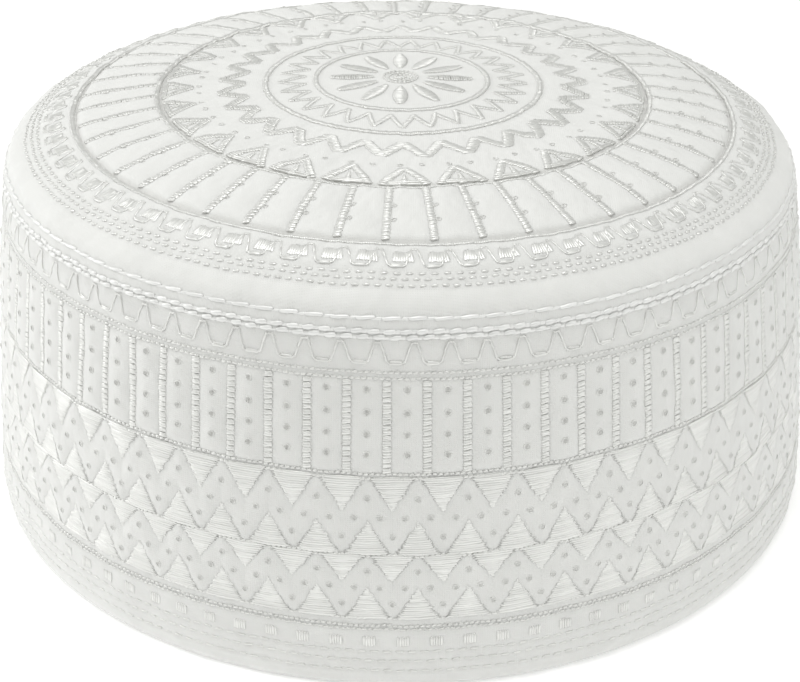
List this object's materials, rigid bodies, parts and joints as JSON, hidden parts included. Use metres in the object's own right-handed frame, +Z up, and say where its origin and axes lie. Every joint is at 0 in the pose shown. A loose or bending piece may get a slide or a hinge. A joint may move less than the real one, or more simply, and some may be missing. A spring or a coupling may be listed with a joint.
{
  "type": "prayer cap",
  "caption": "Round white embroidered cotton prayer cap: a shallow domed crown on a tall, slightly tapered band with a stitched hem.",
  "frame": {"origin": "centre of the hem's flat underside, which the cap rests on", "axes": "+Z up through the middle of the crown; the pictured front faces -Y and +X is to its right"},
  "size_m": [0.185, 0.185, 0.0908],
  "materials": {
    "cotton": "matt white starched cotton, plain weave",
    "satin_thread": "white rayon embroidery thread with a soft gloss"
  },
  "bodies": {
    "root": {"crown": "cotton", "band": "cotton", "hem": "cotton", "rim_cord": "satin_thread", "seam_cord_upper": "satin_thread", "seam_cord_lower": "satin_thread", "crown_lattice": "satin_thread", "band_lattice": "satin_thread", "teeth_upper": "satin_thread", "teeth_middle": "satin_thread", "teeth_lower": "satin_thread"}
  },
  "joints": []
}
